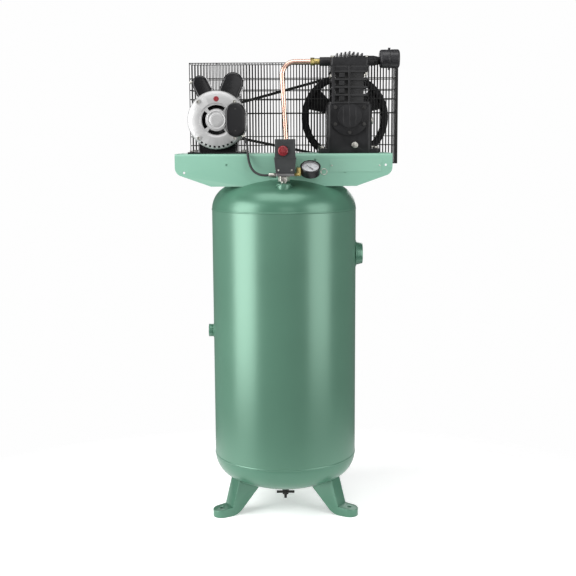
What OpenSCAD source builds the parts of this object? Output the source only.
// Vertical tank air compressor: an upright receiver on three legs, with a platform that carries an
// electric motor and a belt-driven two-cylinder pump. X is to the right, Y to the back, Z up.

/* [Tank] */
// Outer radius of the receiver
tank_r = 254; // [248:1:260]
// Wall of the receiver
tank_wall = 3.2; // [2.5:0.1:4]
// Height of the lower weld seam above the floor
tank_low = 203; // [195:1:215]
// Height of the upper weld seam above the floor
tank_high = 1085; // [1080:1:1090]
// Crown radius of each dished head
crown_r = 459; // [450:1:470]
// Knuckle radius of each dished head
knuckle_r = 88; // [84:1:92]
// How far each weld bead stands proud
bead_h = 1.5; // [1:0.5:2]

/* [Legs] */
// Width of each pressed leg
leg_w = 60; // [56:1:66]
// Sheet thickness of the legs
leg_sheet = 4; // [3:0.5:5]
// Radius from the tank's axis to each anchor hole
foot_hole_place = 263; // [260:1:266]
// Radius of each anchor hole
foot_hole_r = 7; // [5:0.5:8]

/* [Platform] */
// Width of the platform
deck_w = 738; // [730:1:746]
// Depth of the platform
deck_d = 270; // [266:1:274]
// Height of the platform's top face
deck_z = 1279; // [1276:1:1282]
// Sheet thickness of the platform
deck_sheet = 4.5; // [4:0.5:5]
// Height of the platform's side flanges
flange_h = 110; // [104:1:112]

/* [Motor] */
// Motor axis, left of the tank's axis
motor_x = -226; // [-230:1:-222]
// Height of the motor's axis
motor_z = 1393; // [1391:1:1395]
// Radius of the end bells
bell_r = 99; // [98:1:101]
// Radius of the motor's shaft
motor_shaft_r = 11; // [9:0.5:12]

/* [Pump] */
// Pump centre, right of the tank's axis
pump_x = 225; // [223:1:227]
// Height of the crankshaft's axis
crank_z = 1405; // [1403:1:1406]
// Crank throw, half of the stroke
throw = 20; // [18:0.5:20]
// Cylinder bore radius
bore_r = 38; // [37.5:0.5:38.5]
// Distance of each cylinder from the pump's middle
cylinder_y = 48; // [47:1:49]
// Centre distance of a connecting rod
rod_l = 85; // [84:0.5:85]

/* [Drive] */
// Middle plane of the belt
belt_y = 180; // [178:1:184]
// Pitch radius of the flywheel
wheel_pitch_r = 151; // [148:1:153]
// Pitch radius of the motor pulley
pulley_pitch_r = 47; // [44:1:48]
// Number of spokes
spokes = 3; // [3:1:5]

/* [Guard] */
// Left edge of the belt guard
guard_left = -340; // [-344:1:-336]
// Right edge of the belt guard
guard_right = 416; // [412:1:420]
// Lower edge of the belt guard
guard_low = 1237; // [1234:1:1240]
// Upper edge of the belt guard
guard_high = 1601; // [1598:1:1606]
// Thickness of the guard's wires
wire = 3; // [2.5:0.1:3.5]
// Spacing of the upright wires
wire_pitch = 10.7; // [10:0.1:14]

/* [Hidden] */
$fn = 64;
eps = 0.01;
far = 400;              // longer than any cut needs
run_gap = 0.05;         // radial clearance of a running fit

// tank heads
join_a = acos((tank_r - knuckle_r) / (crown_r - knuckle_r));
crown_drop = (crown_r - knuckle_r) * sin(join_a);

// legs, in radius from the tank's axis and height
toe_r = foot_hole_place + leg_w / 2;
toe_z = 32;
toe_tip_z = 26;
shin_top = [200, 150];
shin_foot = [232, toe_z];
heel_top = [121, 150];
heel_knee = [121, 96];
heel_curve_r = 60;
leg_angles = [210, 330, 90];

// origin: middle of the whole machine's box, on the floor
middle_x = (guard_right - deck_w / 2) / 2;
middle_y = (toe_r - tank_r - bead_h) / 2;

// tank fittings
outlet_z = 648;
outlet_r = 22.5;
outlet_bore_r = 12.5;
outlet_l = 18;
outlet_relief = 2;
inspect_z = 924;
inspect_r = 43;
inspect_mouth_r = 36;
inspect_bore_r = 25;
inspect_l = 24;
switch_y = -188;
switch_bung_r = 24;
switch_bung_z = 1181;
drain_bung_r = 20;
drain_bung_z = 58;

// platform
deck_back = deck_d / 2;
fold_r = 9;
deck_end_h = 46;
deck_slope = 122;
flange_holes = [[-194, 1242], [-338, 1216], [107, 1258], [208, 1217], [346, 1240]];

// motor, along Y
bell_front = -88;
bell_depth = 42;
shell_back = 70;
shell_r = 97;
shell_wall = 3;
bore_gap = 0.5;
rotor_r = 52;
motor_bearing_r = 26;
motor_bearing_w = 14;
bell_boss_r = 32;
through_bolt_place = 86;
base_h = 6;
base_w = 203;
base_d = 200;
motor_bolt_places = [for (x = [-88, 88], y = [-82, 82]) [x, y]];
cap_left = [-58, 124];
cap_left_r = 27;
cap_right = [55, 127];
cap_right_r = 35;
cap_wall = 2.5;
button_r = 5;
terminal_x = 65;
shaft_end = 205;

// pump
case_w = 151;
case_front = -100;
case_back = 100;
case_top = 1443;
case_wall = 9;
case_floor = 1297;
flange_w = 207;
flange_t = 16;
block_top = 1568;
plate_t = 6;
head_z = block_top + plate_t;
head_w = 130;
head_body_h = 26;
fin_top = 1620;
crank_opening_r = 56;
main_bearing_r = 30;
journal_r = 17;
pin_r = 15;
big_end_r = 23;
small_end_r = 10;
rod_t = 22;
small_end_t = 16;
wrist_r = 6;
web_r = 36;
piston_wall = 5;
crown_t = 6;
crown_gap = 51;
skirt_l = 22;
wrist_z = crank_z + rod_l;
head_bolt_places = [for (x = [-57, 57], y = [-88, 0, 88]) [x, y]];
pump_bolt_places = [for (x = [-92, 92], y = [-75, 75]) [x, y]];
port_y = -55;
port_z = 1597;
oil_plug = [18, 1301];
filter_x = 328;

// discharge line
tube_r = 8.5;
tube_bend_r = 45;
tube_lean = 3.1;
fitting_x = pump_x - 132;
valve_x = 12;
valve_top = 1258;
valve_r = 16;
valve_chamber_r = 9;
chamber_low = 1224;
chamber_high = 1235;
unloader_z = 1231;
unloader_r = 3.2;
tube_entry = 12;

// drive
belt_w = 12.6;
belt_in = 5;
belt_out = 5;
groove_gap = 0.5;
wheel_w = 32;
wheel_rim = 137;
wheel_hub_r = 34;
wheel_web = 12;
wheel_bore_r = 14;
drive_len = norm([pump_x - motor_x, crank_z - motor_z]);
drive_tilt = atan2(crank_z - motor_z, pump_x - motor_x);

// guard
guard_front_y = 145;
guard_rear_y = 235;
strap_w = 10;
guard_rows = [1238.5, 1305, 1337, 1421, 1471, 1504, 1545, 1599.5];
guard_gap = 0.3;
hub_hole_r = 44;

// switch and gauge
switch_x = 5;
switch_w = 74;
switch_d = 80;
switch_low = 1206;
switch_deck = 1216;
switch_waist = 1268;
switch_high = 1328;
switch_foot = 62;
cover_wall = 3;
knob = [-2, 1290];
knob_r = 17;
knob_stem_r = 8;
gauge = [89, -200, 1239];
gauge_r = 34;
gauge_t = 30;
gauge_tilt = 35;        // the dial's normal leans this far from straight up towards the front
gauge_pocket_r = 31;
gauge_pocket = 9;
needle_rest = 130;
valve_axis_y = -147;
valve_axis_z = 1218;

// motor lead: from the motor's connector to the switch's, with its radius
lead_r = 4;
lead_sides = 8;
lead_exit = 60;         // the lead leaves the motor this far below level
lead_path = [
    [-134, -121, 1336], [-129, -123, 1327], [-125.5, -127, 1316], [-123, -132, 1304], [-122, -137, 1291],
    [-121, -142, 1277], [-119, -146, 1263], [-116, -150, 1249], [-111, -154, 1236], [-104, -158, 1225],
    [-95, -162, 1217], [-85, -166, 1212], [-75, -170, 1209], [-65, -174, 1208], [-57, -176, 1208],
    [-50, -177, 1208]
];

function arc_points(c, r, from, to, n) =
    [for (i = [0:n]) c + r * [cos(from + (to - from) * i / n), sin(from + (to - from) * i / n)]];
function turn_over(list) = [for (i = [len(list) - 1:-1:0]) list[i]];
function head_arc(inset) = concat(
    arc_points([tank_r - knuckle_r, 0], knuckle_r - inset, 0, join_a, 10),
    arc_points([0, -crown_drop], crown_r - inset, join_a, 90, 14));

// ---- places -----------------------------------------------------------------------------------

module on_tank() translate([-middle_x, -middle_y, 0]) children();
// a drawing seen from the front: its own x is right, its own y is up, and it rises towards -Y
module seen_from_front(x, y, z) translate([x, y, z]) rotate([90, 0, 0]) children();
module along_y(x, from, to, z, r) translate([x, from, z]) rotate([-90, 0, 0]) cylinder(h = to - from, r = r);
module along_x(from, to, y, z, r1, r2) translate([from, y, z]) rotate([0, 90, 0])
    cylinder(h = to - from, r1 = r1, r2 = r2);
module hex_bolt(r, head_h, reach, grip) {
    cylinder(h = head_h, r = r * 1.9, $fn = 6);
    translate([0, 0, -reach]) cylinder(h = reach + eps, r = r);
    if (grip > 0) translate([0, 0, -grip - head_h]) cylinder(h = head_h, r = r * 1.9, $fn = 6);
}

// ---- tank -------------------------------------------------------------------------------------

module dome_solid() rotate_extrude($fn = 96) polygon(concat([[0, -30], [tank_r, -30]], head_arc(0)));
module dished_head() {
    rotate_extrude($fn = 96) polygon(concat(head_arc(0), turn_over(head_arc(tank_wall))));
    rotate_extrude($fn = 96) translate([tank_r, 0])
        polygon([[-1, 0], [0, 0], [0, -4], [bead_h, -2], [bead_h, 2], [-0.5, 4.5]]);
}
module top_dome() translate([0, 0, tank_high]) dome_solid();
module bottom_dome() translate([0, 0, tank_low]) mirror([0, 0, 1]) dome_solid();

module tank_shell() color("mediumseagreen") on_tank() translate([0, 0, tank_low])
    difference() {
        cylinder(h = tank_high - tank_low, r = tank_r, $fn = 96);
        translate([0, 0, -1]) cylinder(h = tank_high - tank_low + 2, r = tank_r - tank_wall, $fn = 96);
    }
module tank_top_head() color("mediumseagreen") on_tank() translate([0, 0, tank_high]) dished_head();
module tank_bottom_head() color("mediumseagreen") on_tank()
    translate([0, 0, tank_low]) mirror([0, 0, 1]) dished_head();

// ---- legs -------------------------------------------------------------------------------------

// the leg's side view, or with t over 0 the space inside its sheet, open to the back and below
module leg_side(t) {
    shin_lean = (shin_foot[0] - shin_top[0]) / (shin_top[1] - shin_foot[1]);
    low = t > 0 ? -1 : 0;
    polygon(concat(
        [[shin_top[0] - t, shin_top[1]], [shin_foot[0] - t - shin_lean * t, shin_foot[1] - t]],
        [[toe_r + 1, toe_tip_z - t], [toe_r + 1, low]],
        t > 0 ? [[0, low], [0, shin_top[1]]]
              : concat(arc_points([238, heel_curve_r], heel_curve_r, 270, 220, 6), [heel_knee, heel_top])));
}
module leg_form(t) intersection() {
    translate([0, leg_w / 2 - t, 0]) rotate([90, 0, 0]) linear_extrude(leg_w - 2 * t) leg_side(t);
    union() {
        translate([-1, -leg_w / 2, -2]) cube([foot_hole_place + 1, leg_w, far]);
        translate([foot_hole_place, 0, -2]) cylinder(h = far, r = leg_w / 2 - t);
    }
}
module leg(angle) on_tank() difference() {
    rotate([0, 0, angle]) difference() {
        leg_form(0);
        leg_form(leg_sheet);
        translate([foot_hole_place, 0, -1]) cylinder(h = far, r = foot_hole_r);
    }
    bottom_dome();
}
module leg_front_left() color("seagreen") leg(leg_angles[0]);
module leg_front_right() color("seagreen") leg(leg_angles[1]);
module leg_rear() color("seagreen") leg(leg_angles[2]);

// ---- tank fittings ----------------------------------------------------------------------------

module tank_couplings() color("seagreen") on_tank() difference() {
    union() {
        along_x(-tank_r - outlet_l, -tank_r + 12, 0, outlet_z, outlet_r, outlet_r);
        along_x(tank_r - 12, tank_r + inspect_l, 0, inspect_z, inspect_r + 2, inspect_mouth_r);
        translate([0, switch_y, switch_bung_z - 30]) cylinder(h = 30, r = switch_bung_r);
        translate([0, 0, drain_bung_z]) cylinder(h = 40, r = drain_bung_r);
    }
    translate([0, 0, tank_low]) cylinder(h = tank_high - tank_low, r = tank_r, $fn = 96);
    top_dome();
    bottom_dome();
    along_x(-tank_r - outlet_l - 1, -tank_r - 1, 0, outlet_z, outlet_bore_r, outlet_bore_r);
    along_x(-tank_r - outlet_relief, -tank_r + 12, 0, outlet_z, outlet_bore_r + 2, outlet_bore_r + 2);
    along_x(tank_r - 12, tank_r + inspect_l + 1, 0, inspect_z, inspect_bore_r, inspect_bore_r);
}
module inspection_plug() color("dimgray") on_tank() difference() {
    along_x(tank_r + 2, tank_r + inspect_l - 4, 0, inspect_z, inspect_bore_r, inspect_bore_r);
    translate([tank_r + inspect_l - 14, -9, inspect_z - 9]) cube([20, 18, 18]);
}
module drain_valve() color("goldenrod") on_tank() {
    translate([0, 0, 44]) cylinder(h = drain_bung_z - 44, r = 12, $fn = 6);
    translate([0, 0, 16]) cylinder(h = 30, r = 5);
}
module drain_handle() color("dimgray") on_tank() difference() {
    union() {
        translate([0, 0, 31]) cylinder(h = 12, r = 11);
        translate([-33, -3, 35]) cube([66, 6, 8]);
    }
    cylinder(h = 60, r = 5 + run_gap);
}

// ---- platform ---------------------------------------------------------------------------------

module deck_section(inset, low) {
    half = deck_back - inset;
    r = fold_r - inset;
    top = deck_z - inset;
    polygon(concat(
        [[-half, low]],
        arc_points([-half + r, top - r], r, 180, 90, 6),
        arc_points([half - r, top - r], r, 90, 0, 6),
        [[half, low]]));
}
module deck_front_view() {
    half = deck_w / 2;
    low = deck_z - flange_h;
    end = deck_z - deck_end_h;
    polygon(concat(
        [[-half, deck_z + 1]],
        arc_points([-half + 30, end], 30, 180, 242, 5),
        [[-half + deck_slope, low], [half - deck_slope, low]],
        arc_points([half - 30, end], 30, 298, 360, 5),
        [[half, deck_z + 1]]));
}
module platform() color("lightgreen") on_tank() difference() {
    intersection() {
        translate([-deck_w / 2, 0, 0]) rotate([90, 0, 90]) linear_extrude(deck_w) difference() {
            deck_section(0, deck_z - flange_h - 1);
            deck_section(deck_sheet, deck_z - flange_h - 2);
        }
        seen_from_front(0, deck_back + 1, 0) linear_extrude(deck_d + 2) deck_front_view();
    }
    top_dome();
    for (h = flange_holes) along_y(h[0], -deck_back - 1, -deck_back + 8, h[1], 4);
    for (p = motor_bolt_places) translate([motor_x + p[0], p[1], deck_z - 20]) cylinder(h = 30, r = 4);
    for (p = pump_bolt_places) translate([pump_x + p[0], p[1], deck_z - 20]) cylinder(h = 30, r = 5);
    translate([valve_x - 1, port_y, deck_z - 20]) cylinder(h = 30, r = tube_r + 5);
    along_y(valve_x, -deck_back - 1, -deck_back + 8, unloader_z, unloader_r + 2);
}

// ---- motor ------------------------------------------------------------------------------------

module bell_outline(t) polygon(
    [[0, 0], [bell_r - t, 0], [bell_r - t, 20], [bell_r - 3 - t, 32 - t], [bell_r - 13, 39 - t],
     [58, bell_depth - t], [53, 38 - t], [0, 38 - t]]);
module bell_body(hub_h) difference() {
    union() {
        rotate_extrude() bell_outline(0);
        cylinder(h = hub_h, r = 35.5);
        for (a = [45:90:315]) rotate([0, 0, a]) translate([through_bolt_place, 0, 4])
            cylinder(h = 37, r = 8);
    }
    difference() {
        translate([0, 0, -eps]) rotate_extrude() bell_outline(5);
        cylinder(h = 60, r = bell_boss_r);
        for (a = [45:90:315]) rotate([0, 0, a]) translate([through_bolt_place, 0, 4])
            cylinder(h = 60, r = 8);
    }
    translate([0, 0, -1]) cylinder(h = 7 + motor_bearing_w, r = motor_bearing_r);
    for (a = [45:90:315]) {
        rotate([0, 0, a]) translate([through_bolt_place, 0, 20]) cylinder(h = 40, r = 3);
        rotate([0, 0, a + 8]) rotate_extrude(angle = 74) translate([37.5, 20]) square([12.5, 40]);
    }
    for (a = [-124:9.7:-55]) rotate([0, 0, a]) translate([87, -3.5, 22]) cube([7.5, 7, 30]);
}
module motor_front_bell() color("silver") on_tank() seen_from_front(motor_x, bell_front, motor_z)
    bell_body(44);
module motor_rear_bell() color("silver") on_tank()
    translate([motor_x, shell_back, motor_z]) rotate([-90, 0, 0]) difference() {
        bell_body(42);
        cylinder(h = 60, r = motor_shaft_r + 2);
    }
module motor_shell() color("#202020") on_tank() difference() {
    along_y(motor_x, bell_front, shell_back, motor_z, shell_r);
    along_y(motor_x, bell_front - 1, shell_back + 1, motor_z, shell_r - shell_wall);
}
module motor_bolts() color("gray") on_tank() {
    for (a = [45:90:315]) seen_from_front(motor_x, bell_front, motor_z) rotate([0, 0, a])
        translate([through_bolt_place, 0, 41]) hex_bolt(3, 4, 20, 0);
    for (p = motor_bolt_places) translate([motor_x + p[0], p[1], deck_z + base_h])
        hex_bolt(4, 6, base_h + deck_sheet + 9, base_h + deck_sheet);
}
module terminal_form(h, inset) union() {
    for (s = [-1, 1]) translate([0, 24 * s, 0]) cylinder(h = h, r = 33.5 - inset);
    translate([-33.5 + inset, -24, 0]) cube([67 - 2 * inset, 48, h]);
}
module terminal_cover() color("#181818") on_tank() seen_from_front(motor_x, bell_front, motor_z)
    difference() {
        translate([terminal_x, 0, 12]) terminal_form(42, 0);
        translate([terminal_x, 0, 0]) terminal_form(51, 3);
        rotate_extrude() bell_outline(0);
        cylinder(h = 60, r = 36);
        for (a = [-45, 45]) rotate([0, 0, a]) translate([through_bolt_place, 0, 0])
            cylinder(h = 60, r = 8.5);
    }

module capacitor_form(place, r, from, to, inset)
    seen_from_front(motor_x, to - inset, motor_z) rotate([0, 0, -atan2(place[0], place[1])])
        linear_extrude(to - from - 2 * inset) polygon(concat(
            arc_points([0, norm(place)], r - inset, 0, 180, 24), [[inset - r, 60], [r - inset, 60]]));
module capacitor_cover(place, r, from, to) difference() {
    capacitor_form(place, r, from, to, 0);
    capacitor_form(place, r, from, to, cap_wall);
    along_y(motor_x, from - 1, to + 1, motor_z, shell_r);
}
module capacitor_cover_left() color("#202020") on_tank() difference() {
    capacitor_cover(cap_left, cap_left_r, -78, 38);
    along_x(motor_x + cap_left[0] - 40, motor_x + cap_left[0] - 10, -45, motor_z + 128,
            button_r + 0.4, button_r + 0.4);
}
module capacitor_cover_right() color("#202020") on_tank() capacitor_cover(cap_right, cap_right_r, -78, 56);
module capacitors() color("gainsboro") on_tank() {
    along_y(motor_x + cap_left[0], -30, 32, motor_z + cap_left[1], 21);
    along_y(motor_x + cap_right[0], -70, 50, motor_z + cap_right[1], 29);
}
module reset_button() color("dimgray") on_tank() {
    along_x(motor_x + cap_left[0] - 38, motor_x + cap_left[0] - 14, -45, motor_z + 128, button_r, button_r);
}
module motor_stator() color("slategray") on_tank() difference() {
    along_y(motor_x, -60, 44, motor_z, shell_r - shell_wall);
    along_y(motor_x, -61, 45, motor_z, rotor_r + bore_gap);
}
module motor_rotor() color("silver") on_tank() {
    along_y(motor_x, -58, 42, motor_z, rotor_r);
    along_y(motor_x, bell_front - 12, shaft_end, motor_z, motor_shaft_r);
    along_y(motor_x, 48, 52, motor_z, 60);
    for (a = [0:45:315]) translate([motor_x, 52 - eps, motor_z]) rotate([0, a, 0])
        translate([36, 0, -1.5]) cube([44, 16, 3]);
}
module ring_bearing(x, from, to, z, outer, shaft) difference() {
    along_y(x, from, to, z, outer);
    along_y(x, from - 1, to + 1, z, shaft + run_gap);
}
module bearings() color("lightsteelblue") on_tank() {
    ring_bearing(motor_x, bell_front - 6 - motor_bearing_w, bell_front - 6, motor_z, motor_bearing_r, motor_shaft_r);
    ring_bearing(motor_x, shell_back + 6, shell_back + 6 + motor_bearing_w, motor_z, motor_bearing_r, motor_shaft_r);
    ring_bearing(pump_x, case_front - 6, case_front + 8, crank_z, main_bearing_r, journal_r);
    ring_bearing(pump_x, case_back - 6, case_back + 8, crank_z, main_bearing_r, journal_r);
}
module motor_base() color("#1c1c1c") on_tank() difference() {
    union() {
        translate([motor_x - base_w / 2, -base_d / 2, deck_z]) cube([base_w, base_d, base_h]);
        for (y = [-72, 44]) translate([motor_x - 62, y, deck_z + base_h - eps]) cube([124, 14, 60]);
    }
    along_y(motor_x, -120, 120, motor_z, shell_r);
    along_y(motor_x, -120, bell_front, motor_z, bell_r + 1);
    along_y(motor_x, shell_back, 120, motor_z, bell_r + 1);
    for (p = motor_bolt_places) translate([motor_x + p[0], p[1], deck_z - 1]) cylinder(h = 20, r = 4);
}

// ---- drive ------------------------------------------------------------------------------------

module grooved_wheel(x, z, pitch_r, width) difference() {
    along_y(x, belt_y - width / 2, belt_y + width / 2, z, pitch_r + belt_out + 2);
    difference() {
        along_y(x, belt_y - belt_w / 2 - groove_gap, belt_y + belt_w / 2 + groove_gap, z, pitch_r + 20);
        along_y(x, belt_y - width, belt_y + width, z, pitch_r - belt_in - groove_gap);
    }
}
module motor_pulley() color("dimgray") on_tank() difference() {
    grooved_wheel(motor_x, motor_z, pulley_pitch_r, 28);
    along_y(motor_x, belt_y - 40, belt_y + 40, motor_z, motor_shaft_r);
}
module wheel_window(span) rotate([0, 0, -span / 2]) rotate_extrude(angle = span, $fn = 96)
    translate([wheel_hub_r + 12, -1]) square([wheel_rim - wheel_hub_r - 16, 60]);
module flywheel() color("#161616") on_tank() difference() {
    union() {
        difference() {
            grooved_wheel(pump_x, crank_z, wheel_pitch_r, wheel_w);
            along_y(pump_x, belt_y - wheel_w, belt_y + wheel_w, crank_z, wheel_rim);
        }
        along_y(pump_x, belt_y - wheel_web / 2, belt_y + wheel_web / 2, crank_z, wheel_rim + 2);
        along_y(pump_x, belt_y - 24, belt_y + 24, crank_z, wheel_hub_r);
    }
    along_y(pump_x, belt_y - 40, belt_y + 40, crank_z, wheel_bore_r);
    seen_from_front(pump_x, belt_y + 30, crank_z)
        for (k = [0:spokes - 1]) rotate([0, 0, 90 + 360 * k / spokes]) wheel_window(360 / spokes - 35);
}
// The belt runs straight from where it leaves the pulley, at belt_turn round it, to the flywheel.
belt_turn = acos((pulley_pitch_r - wheel_pitch_r) / drive_len);
belt_run = drive_len * sin(belt_turn);
module belt_band(r, angle) rotate_extrude(angle = angle, $fn = 96)
    translate([r - belt_in, 0]) square([belt_in + belt_out, belt_w]);
module belt_side() rotate([0, 0, belt_turn]) translate([pulley_pitch_r - belt_in, -belt_run - 0.2, 0])
    cube([belt_in + belt_out, belt_run + 0.4, belt_w]);
module drive_belt() color("#0c0c0c") on_tank() seen_from_front(motor_x, belt_y + belt_w / 2, motor_z)
    rotate([0, 0, drive_tilt]) {
        rotate([0, 0, belt_turn]) belt_band(pulley_pitch_r, 360 - 2 * belt_turn);
        translate([drive_len, 0, 0]) rotate([0, 0, -belt_turn]) belt_band(wheel_pitch_r, 2 * belt_turn);
        belt_side();
        mirror([0, 1, 0]) belt_side();
    }

// ---- guard ------------------------------------------------------------------------------------

// A welded panel: upright wires, and cross wires that lie half a wire behind them.
module grille(y) {
    right = guard_right - strap_w - guard_gap;
    n = round((right - guard_left - wire) / wire_pitch);
    for (i = [0:n]) translate([guard_left + i * (right - guard_left - wire) / n, y - wire / 2, guard_low])
        cube([wire, wire, guard_high - guard_low]);
    for (z = guard_rows) translate([guard_left, y, z - wire / 2])
        cube([right - guard_left, wire, wire]);
}
module guard_front() color("#222222") on_tank() {
    difference() {
        grille(guard_front_y);
        along_y(motor_x, guard_front_y - 5, guard_front_y + 5, motor_z, hub_hole_r);
        along_y(pump_x, guard_front_y - 5, guard_front_y + 5, crank_z, hub_hole_r);
    }
    for (x = [-300, 300]) translate([x - 10, deck_back, guard_low + 8])
        cube([20, guard_front_y - wire / 2 - deck_back, 14]);
}
module guard_rear() color("#222222") on_tank() {
    gap = wire + guard_gap;
    grille(guard_rear_y);
    translate([guard_right - strap_w, guard_front_y - wire / 2, guard_low])
        cube([strap_w, guard_rear_y - guard_front_y + wire, guard_high - guard_low]);
    for (z = guard_rows) translate([guard_left, guard_front_y + gap, z - wire / 2])
        cube([wire, guard_rear_y - guard_front_y - 2 * gap, wire]);
    for (x = [guard_left + 100:100:guard_right - 60])
        translate([x, guard_front_y + gap, guard_high - wire])
            cube([wire, guard_rear_y - guard_front_y - 2 * gap, wire]);
}

// ---- pump -------------------------------------------------------------------------------------

module rounded_block(w, y0, y1, z0, z1, r) {
    translate([pump_x - w / 2 + r, y0, z0]) cube([w - 2 * r, y1 - y0, z1 - z0]);
    translate([pump_x - w / 2, y0 + r, z0]) cube([w, y1 - y0 - 2 * r, z1 - z0]);
    for (x = [-1, 1], y = [y0 + r, y1 - r]) translate([pump_x + x * (w / 2 - r), y, z0])
        cylinder(h = z1 - z0, r = r);
}
module crankcase() color("#1e1e1e") on_tank() difference() {
    union() {
        rounded_block(case_w, case_front, case_back, deck_z + 1, case_top, 14);
        rounded_block(flange_w, -95, 95, deck_z, deck_z + flange_t, 12);
        along_y(pump_x, case_back - 2, case_back + 14, crank_z, 38);
    }
    translate([pump_x - case_w / 2 + case_wall, case_front + case_wall, case_floor])
        cube([case_w - 2 * case_wall, case_back - case_front - 2 * case_wall, case_top]);
    along_y(pump_x, case_front - 1, case_front + 20, crank_z, crank_opening_r);
    along_y(pump_x, case_back - 20, case_back + 8, crank_z, main_bearing_r);
    along_y(pump_x, case_back - 20, case_back + 20, crank_z, journal_r + 2);
    for (p = pump_bolt_places) translate([pump_x + p[0], p[1], deck_z - 1]) cylinder(h = 40, r = 5);
    along_y(pump_x + oil_plug[0], case_front - 1, case_front + 20, oil_plug[1] + 6, 8);
    along_x(pump_x + case_w / 2 - 20, pump_x + case_w / 2 + 5, 20, 1390, 9, 9);
}
module crankcase_cover() color("#242424") on_tank() difference() {
    union() {
        along_y(pump_x, case_front - 8, case_front, crank_z, 66);
        along_y(pump_x, case_front - 1, case_front + case_wall, crank_z, crank_opening_r);
        along_y(pump_x, case_front - 16, case_front, crank_z, 40);
    }
    along_y(pump_x, case_front - 6, case_front + 20, crank_z, main_bearing_r);
    along_y(pump_x, case_front - 12, case_front + 20, crank_z, journal_r + 2);
    translate([pump_x - 80, case_front - 20, case_top]) cube([160, 60, 60]);
}
module crankshaft() color("silver") on_tank() {
    along_y(pump_x, case_front - 10, -66, crank_z, journal_r);
    along_y(pump_x, -30, 30, crank_z, journal_r);
    along_y(pump_x, 66, case_back + 16, crank_z, journal_r);
    along_y(pump_x, case_back + 15, shaft_end, crank_z, wheel_bore_r);
    for (y = [-80, -32, 18, 66]) along_y(pump_x, y, y + 14, crank_z, web_r);
    along_y(pump_x + throw, -67, -31, crank_z, pin_r);
    along_y(pump_x - throw, 31, 67, crank_z, pin_r);
}
module connecting_rod(x, y) difference() {
    union() {
        along_y(x, y - rod_t / 2, y + rod_t / 2, crank_z, big_end_r);
        along_y(x, y - small_end_t / 2, y + small_end_t / 2, wrist_z, small_end_r);
        translate([x - 7, y - small_end_t / 2, crank_z + pin_r + 4])
            cube([14, small_end_t, rod_l - pin_r - 8]);
    }
    along_y(x, y - rod_t, y + rod_t, crank_z, pin_r + run_gap);
    along_y(x, y - rod_t, y + rod_t, wrist_z, wrist_r);
}
module connecting_rod_front() color("lightgray") on_tank() connecting_rod(pump_x + throw, -cylinder_y - 1);
module connecting_rod_rear() color("lightgray") on_tank() connecting_rod(pump_x - throw, cylinder_y + 1);
module piston(y) {
    difference() {
        translate([pump_x, y, wrist_z - skirt_l])
            cylinder(h = skirt_l + crown_gap + crown_t, r = bore_r - run_gap);
        translate([pump_x, y, wrist_z - skirt_l - 1])
            cylinder(h = skirt_l + crown_gap + 1, r = bore_r - run_gap - piston_wall);
        for (z = [53, 47]) translate([pump_x, y, wrist_z + z - 2]) difference() {
            cylinder(h = 2, r = bore_r + 1);
            translate([0, 0, -1]) cylinder(h = 4, r = bore_r - 2);
        }
    }
    // the pin's two ends: the rod passes between them
    for (s = [-1, 1]) along_y(pump_x, y + (s < 0 ? 3 - bore_r : 11), y + (s < 0 ? -11 : bore_r - 3), wrist_z,
        wrist_r);
}
module piston_front() color("gainsboro") on_tank() piston(-cylinder_y);
module piston_rear() color("gainsboro") on_tank() piston(cylinder_y);
module head_holes(from, to) for (p = head_bolt_places)
    translate([pump_x + p[0], p[1], from]) cylinder(h = to - from, r = 4.1);
module cylinder_block() color("#1a1a1a") on_tank() difference() {
    union() {
        translate([pump_x - 48, -94, case_top]) cube([96, 188, block_top - case_top]);
        for (k = [0:4]) translate([pump_x - 60, -104, case_top + 3 + 26 * k]) cube([120, 208, 6]);
        rounded_block(140, -100, 100, case_top, case_top + 9, 10);
        rounded_block(128, -102, 102, block_top - 14, block_top, 10);
    }
    for (y = [-cylinder_y, cylinder_y]) translate([pump_x, y, case_top - 1])
        cylinder(h = block_top - case_top + 2, r = bore_r);
    head_holes(block_top - 30, block_top + 1);
}
module valve_plate() color("silver") on_tank() difference() {
    translate([pump_x - 64, -102, block_top]) cube([128, 204, plate_t]);
    head_holes(block_top - 1, head_z + 1);
    for (x = [-16, 16], y = [-cylinder_y, cylinder_y]) translate([pump_x + x, y, block_top - 1])
        cylinder(h = plate_t + 2, r = 7);
}
module cylinder_head() color("#1a1a1a") on_tank() difference() {
    union() {
        rounded_block(head_w, -105, 105, head_z, head_z + head_body_h, 12);
        for (k = [-3:3]) translate([pump_x + 14 * k - 2.5, -100, head_z + head_body_h - 1])
            cube([5, 200, fin_top - head_z - head_body_h + 1 - 2.2 * abs(k)]);
        along_x(pump_x - 100, pump_x, port_y, port_z - 8, 15, 15);
        along_x(pump_x, pump_x + 84, port_y, port_z - 6, 17, 17);
    }
    for (s = [-1, 1]) translate([pump_x + (s > 0 ? 4 : -40), -92, head_z - 1]) cube([36, 184, 17]);
    head_holes(head_z - 1, head_z + head_body_h + 1);
    along_x(pump_x - 101, pump_x - 20, port_y, port_z - 8, 9, 9);
    along_x(pump_x + 20, pump_x + 85, port_y, port_z - 6, 11, 11);
    for (p = head_bolt_places) translate([pump_x + p[0], p[1], head_z + head_body_h])
        cylinder(h = 20, r = 9);
}
module pump_bolts() color("gray") on_tank() {
    for (p = pump_bolt_places) translate([pump_x + p[0], p[1], deck_z + flange_t])
        hex_bolt(5, 7, flange_t + deck_sheet + 12, flange_t + deck_sheet);
    for (p = head_bolt_places) translate([pump_x + p[0], p[1], head_z + head_body_h])
        hex_bolt(4, 6, head_body_h + plate_t + 28, 0);
}
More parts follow.
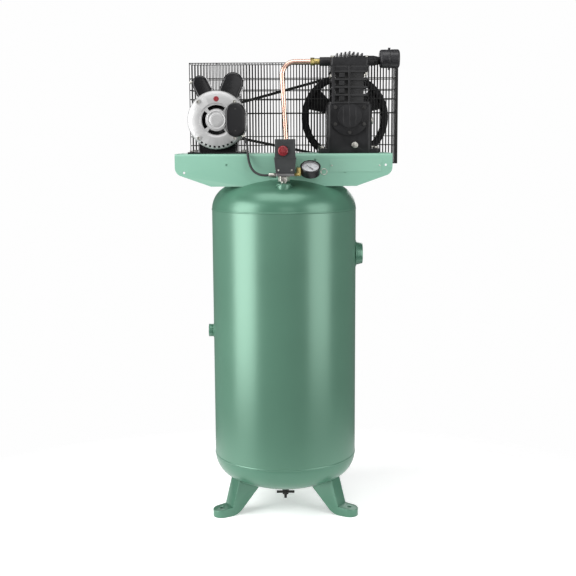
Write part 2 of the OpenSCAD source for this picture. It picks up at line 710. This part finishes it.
module oil_plugs() color("lightgray") on_tank() {
    along_y(pump_x + oil_plug[0], case_front, case_front + 8, oil_plug[1] + 6, 8);
    along_y(pump_x + oil_plug[0], case_front - 12, case_front, oil_plug[1] + 6, 10.5);
    along_x(pump_x + case_w / 2 - 8, pump_x + case_w / 2, 20, 1390, 9, 9);
    along_x(pump_x + case_w / 2, pump_x + case_w / 2 + 14, 20, 1390, 12, 12);
}
module intake_elbow() color("#1a1a1a") on_tank() difference() {
    along_x(pump_x + 84, filter_x, port_y, port_z - 6, 17, 13);
    along_x(pump_x + 83, filter_x + 1, port_y, port_z - 6, 10, 10);
}
module filter_part(from, to, r1, r2) along_x(filter_x + from, filter_x + to, port_y, port_z, r1, r2);
module filter_housing() color("#181818") on_tank() difference() {
    union() {
        filter_part(0, 10, 24, 31);
        filter_part(10, 64, 31, 31);
        filter_part(64, 69, 31, 28);
        filter_part(32, 36, 33, 33);
        for (s = [-1, 1]) translate([filter_x + 30, port_y - 4, port_z + s * 33 - 4]) cube([8, 8, 8]);
    }
    filter_part(3, 10, 22, 28.5);
    filter_part(10 - eps, 66, 28.5, 28.5);
    along_x(filter_x - 8, filter_x + 12, port_y, port_z - 6, 10, 10);
}
module filter_element() color("wheat") on_tank() difference() {
    filter_part(12, 64, 27, 27);
    filter_part(11, 58, 14, 14);
}

// ---- discharge line ---------------------------------------------------------------------------

module tube_run(r) {
    bend_end = valve_top - 6;
    leg_l = (port_z - 8 - tube_bend_r - tube_bend_r * sin(tube_lean) - bend_end) / cos(tube_lean);
    bend_x = valve_x - leg_l * sin(tube_lean) + tube_bend_r * cos(tube_lean);
    bend_z = port_z - 8 - tube_bend_r;
    along_x(bend_x - 0.3, fitting_x + tube_entry, port_y, port_z - 8, r - 0.04, r - 0.04);
    seen_from_front(bend_x, port_y, bend_z) rotate([0, 0, 90]) rotate_extrude(angle = 90 + tube_lean)
        translate([tube_bend_r, 0]) circle(r = r);
    translate([valve_x, port_y, bend_end]) rotate([0, -tube_lean, 0]) cylinder(h = leg_l + 0.3, r = r - 0.04);
}
module discharge_tube() color("#c98a63") on_tank() tube_run(tube_r);
module discharge_fitting() color("goldenrod") on_tank() difference() {
    union() {
        along_x(fitting_x, fitting_x + 14, port_y, port_z - 8, 13.5, 13.5, $fn = 6);
        along_x(fitting_x + 14, fitting_x + 32, port_y, port_z - 8, 11, 11);
    }
    along_x(fitting_x - 1, fitting_x + tube_entry, port_y, port_z - 8, tube_r, tube_r);
    along_x(fitting_x, pump_x - 99, port_y, port_z - 8, 6, 6);
}
module check_valve() color("goldenrod") on_tank() difference() {
    translate([valve_x, port_y, valve_top - 70]) cylinder(h = 70, r = valve_r);
    top_dome();
    translate([valve_x, port_y, chamber_low]) cylinder(h = chamber_high - chamber_low, r = valve_chamber_r);
    translate([valve_x, port_y, chamber_low - 60]) cylinder(h = 120, r = 5);
    translate([valve_x, port_y, valve_top - 6]) rotate([0, -tube_lean, 0]) translate([0, 0, -1])
        cylinder(h = 40, r = tube_r + 0.6);
}
module check_disc() color("#303030") on_tank() translate([valve_x, port_y, chamber_low + guard_gap])
    cylinder(h = 4, r = valve_chamber_r - 0.6);
module unloader_tube() color("#c98a63") on_tank() {
    along_y(valve_x, switch_y + switch_d / 2, port_y - valve_r, unloader_z, unloader_r);
}

// ---- switch, gauge and safety valve -----------------------------------------------------------

module switch_nipple() color("silver") on_tank() {
    translate([0, switch_y, switch_bung_z]) cylinder(h = 8, r = 10);
    translate([0, switch_y, switch_bung_z + 7]) cylinder(h = switch_low - switch_bung_z - 7, r = 20, $fn = 6);
}
module switch_form(inset, low) {
    foot = switch_foot / 2 - inset;
    waist = switch_w / 2 - inset;
    lid = switch_w / 2 - 3 - inset;
    d = switch_d - 2 * inset;
    step_z = switch_waist - inset;
    seen_from_front(switch_x, switch_y + d / 2, 0) linear_extrude(d)
        polygon([[-foot, low], [foot, low], [waist, step_z], [lid, step_z],
            [lid, switch_high - inset], [-lid, switch_high - inset], [-lid, step_z], [-waist, step_z]]);
}
module switch_base() color("gray") on_tank() {
    translate([switch_x - 30, switch_y - switch_d / 2 + 2, switch_low])
        cube([60, switch_d - 4, switch_deck - switch_low]);
    translate([switch_x - 22, switch_y - 14, switch_deck]) cube([44, 44, 60]);
}
module switch_cover() color("#3a3c3e") on_tank() difference() {
    switch_form(0, switch_deck);
    switch_form(cover_wall, switch_deck - 1);
    seen_from_front(knob[0], switch_y, knob[1]) cylinder(h = 60, r = knob_stem_r + 0.4);
}
module switch_knob() color("firebrick") on_tank()
    seen_from_front(knob[0], switch_y - switch_d / 2, knob[1]) {
        translate([0, 0, 0.5]) cylinder(h = 9, r = knob_r);
        translate([0, 0, -14]) cylinder(h = 16, r = knob_stem_r);
    }
module brass_fittings() color("goldenrod") on_tank() {
    translate([switch_x + 31, -204, 1206]) cube([17, 66, 9.5]);
    difference() {
        union() {
            translate([switch_x + 38, -202, 1206]) cube([14, 62, 28]);
            along_x(switch_x + 50, gauge[0], gauge_mid()[1], gauge_mid()[2], 8, 8);
            along_x(switch_x + 50, switch_x + 62, valve_axis_y, valve_axis_z, 8, 8);
            along_x(switch_x + 60, switch_x + 108, valve_axis_y, valve_axis_z, 9, 9);
        }
        along_x(switch_x + 70, switch_x + 120, valve_axis_y, valve_axis_z, 3, 3);
        on_gauge() translate([0, 0, -gauge_t]) cylinder(h = gauge_t + 1, r = gauge_r);
    }
}
function gauge_mid() = gauge - gauge_t / 2 * [0, -sin(gauge_tilt), cos(gauge_tilt)];
module on_gauge() translate(gauge) rotate([gauge_tilt, 0, 0]) children();
module gauge_case() color("#141414") on_tank() on_gauge() difference() {
    translate([0, 0, -gauge_t]) cylinder(h = gauge_t, r = gauge_r);
    translate([0, 0, -gauge_pocket]) cylinder(h = gauge_pocket + 1, r = gauge_pocket_r);
    translate([0, 0, -gauge_pocket - 4]) cylinder(h = 10, r = 1.5 + run_gap);
}
module gauge_needle() color("#101010") on_tank() on_gauge() rotate([0, 0, needle_rest]) {
    translate([0, 0, -gauge_pocket - 3]) cylinder(h = 5, r = 1.5);
    translate([0, 0, -gauge_pocket + 1.5]) cylinder(h = 1.5, r = 4);
    translate([-9, -1.2, -gauge_pocket + 1.5]) cube([33, 2.4, 1]);
}
module gauge_lens() color([0.8, 0.9, 1, 0.4]) on_tank() on_gauge() translate([0, 0, -3])
    cylinder(h = 2, r = gauge_pocket_r);
module safety_ring() color("silver") on_tank() {
    along_x(switch_x + 76, switch_x + 122, valve_axis_y, valve_axis_z, 2.6, 2.6);
    translate([switch_x + 131, valve_axis_y, valve_axis_z]) rotate([90, 0, 0]) rotate_extrude()
        translate([10, 0]) circle(r = 1.5, $fn = 24);
}

// ---- motor lead -------------------------------------------------------------------------------

function unit(v) = v / norm(v);
function lead_dir(i) = i == 0 ? [cos(lead_exit), 0, -sin(lead_exit)]
    : i == len(lead_path) - 1 ? [1, 0, 0]
    : unit(lead_path[i + 1] - lead_path[i - 1]);
function lead_ring(i) =
    let (d = lead_dir(i), u = unit(cross(d, [0, 1, 0.2])), v = cross(d, u))
    [for (k = [0:lead_sides - 1])
        lead_path[i] + lead_r * (cos(360 * k / lead_sides) * u + sin(360 * k / lead_sides) * v)];
module motor_lead() color("#0e0e0e") on_tank() {
    n = len(lead_path);
    s = lead_sides;
    polyhedron(
        points = [for (i = [0:n - 1]) each lead_ring(i)],
        faces = concat(
            [[for (k = [0:s - 1]) k]],
            [for (i = [0:n - 2], k = [0:s - 1])
                [i * s + k, (i + 1) * s + k, (i + 1) * s + (k + 1) % s, i * s + (k + 1) % s]],
            [[for (k = [s - 1:-1:0]) (n - 1) * s + k]]),
        convexity = 6);
}
module lead_connectors() color("gray") on_tank() {
    lead_end = lead_path[len(lead_path) - 1];
    difference() {
        translate(lead_path[0]) rotate([0, 90 + lead_exit, 0]) translate([0, 0, -20]) cylinder(h = 20, r = 6.5);
        seen_from_front(motor_x, bell_front, motor_z) translate([terminal_x, 0, 0]) terminal_form(60, 0);
    }
    along_x(lead_end[0], switch_x - 30, lead_end[1], lead_end[2], 8, 8);
}

tank_shell();
tank_top_head();
tank_bottom_head();
leg_front_left();
leg_front_right();
leg_rear();
tank_couplings();
inspection_plug();
drain_valve();
drain_handle();
platform();
motor_shell();
motor_front_bell();
motor_rear_bell();
motor_bolts();
terminal_cover();
capacitor_cover_left();
capacitor_cover_right();
capacitors();
reset_button();
motor_stator();
motor_rotor();
bearings();
motor_pulley();
motor_base();
crankcase();
crankcase_cover();
crankshaft();
connecting_rod_front();
connecting_rod_rear();
piston_front();
piston_rear();
cylinder_block();
valve_plate();
cylinder_head();
pump_bolts();
oil_plugs();
intake_elbow();
filter_housing();
filter_element();
discharge_fitting();
discharge_tube();
check_valve();
check_disc();
unloader_tube();
flywheel();
drive_belt();
guard_front();
guard_rear();
switch_nipple();
switch_base();
switch_cover();
switch_knob();
brass_fittings();
gauge_case();
gauge_needle();
gauge_lens();
safety_ring();
motor_lead();
lead_connectors();
